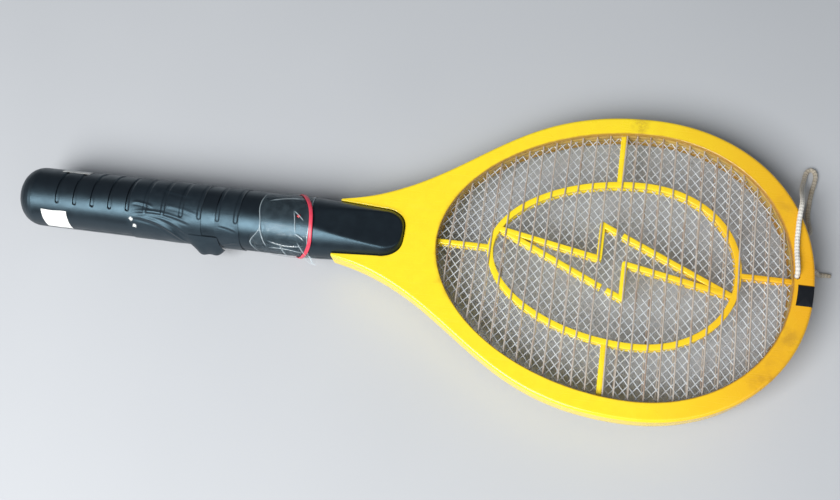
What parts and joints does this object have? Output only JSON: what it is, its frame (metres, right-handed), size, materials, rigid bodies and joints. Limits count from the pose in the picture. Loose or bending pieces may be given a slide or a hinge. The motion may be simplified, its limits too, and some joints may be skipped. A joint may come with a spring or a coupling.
{
  "type": "electric fly swatter",
  "caption": "Racket-shaped electric fly swatter: battery handle with screw cap and push button, oval rim holding wire grids, guards and a centre mesh, with a hanging cord.",
  "frame": {"origin": "centre of the flat butt face of the end cap, on the handle's axis", "axes": "+X along the handle to the head's tip, +Z out of the front, the side with the lamp"},
  "size_m": [0.5277, 0.1956, 0.0414],
  "materials": {
    "black_cap": "satin",
    "black_shell": "satin",
    "black_button": "matte",
    "contact_steel": "plated",
    "spring_steel": "drawn",
    "cell_wrap": "printed metallised sleeve",
    "contact_brass": "plated",
    "part_black": "matte",
    "board_green": "solder resist",
    "lamp_red": "clear tinted",
    "ferrite": "matte",
    "winding": "enamelled copper",
    "capacitor_brown": "dipped",
    "resistor_tan": "lacquered",
    "lead_red": "insulation",
    "lead_black": "insulation",
    "screw_steel": "zinc plated",
    "yellow_rim": "glossy",
    "yellow_guard": "glossy",
    "grid_wire": "tarnished",
    "mesh_metal": "satin",
    "black_insert": "satin",
    "tape_black": "vinyl tape",
    "clear_film": "clear film",
    "band_red": "smooth",
    "paper_white": "paper",
    "cord_braid": "braided"
  },
  "bodies": {
    "swatter": {"handle_front": "black_shell", "handle_back": "black_shell", "button_spring": "spring_steel", "battery_rear": "cell_wrap", "battery_front": "cell_wrap", "positive_contact": "contact_brass", "return_strip": "contact_brass", "tact_switch": "part_black", "switch_board": "board_green", "circuit_board": "board_green", "indicator_lamp": "lamp_red", "transformer_core": "ferrite", "transformer_winding": "winding", "storage_capacitor": "capacitor_brown", "film_capacitors": "capacitor_brown", "rectifier_diodes": "part_black", "drive_transistor": "part_black", "resistors": "resistor_tan", "battery_leads": "lead_red", "grid_lead": "lead_black", "mesh_lead": "lead_red", "handle_screws": "screw_steel", "yoke_screws": "screw_steel", "rim_screws": "screw_steel", "frame_front": "yellow_rim", "frame_back": "yellow_rim", "guard_front": "yellow_guard", "guard_back": "yellow_guard", "wire_grid_front": "grid_wire", "wire_grid_back": "grid_wire", "centre_mesh": "mesh_metal", "tip_insert": "black_insert", "black_tape": "tape_black", "clear_wrap": "clear_film", "rubber_band": "band_red", "sticker_near": "paper_white", "sticker_far": "paper_white", "lanyard": "cord_braid"},
    "cap_contact": {"cap_contact_disc": "contact_steel", "cap_contact_spring": "spring_steel"},
    "cap": {"end_cap": "black_cap"},
    "button": {"push_button": "black_button"}
  },
  "joints": [
    {"name": "cap_travel", "type": "slide", "parent": "swatter", "child": "cap_contact", "axis": [-1, 0, 0], "range_m": [0, 0.01]},
    {"name": "cap_turn", "type": "hinge", "parent": "cap_contact", "child": "cap", "pos_m": [0.006, 0, 0], "axis": [-1, 0, 0], "range_deg": [0, 1440]},
    {"name": "button_press", "type": "slide", "parent": "swatter", "child": "button", "axis": [0, 0.8192, -0.5736], "range_m": [0, 0.0012], "stiffness_N_per_m": 500, "deforming": ["button_spring"]}
  ],
  "couplings": [
    {"joint": "cap_travel", "follows": "cap_turn", "m_per_rad": 0.00039789}
  ]
}
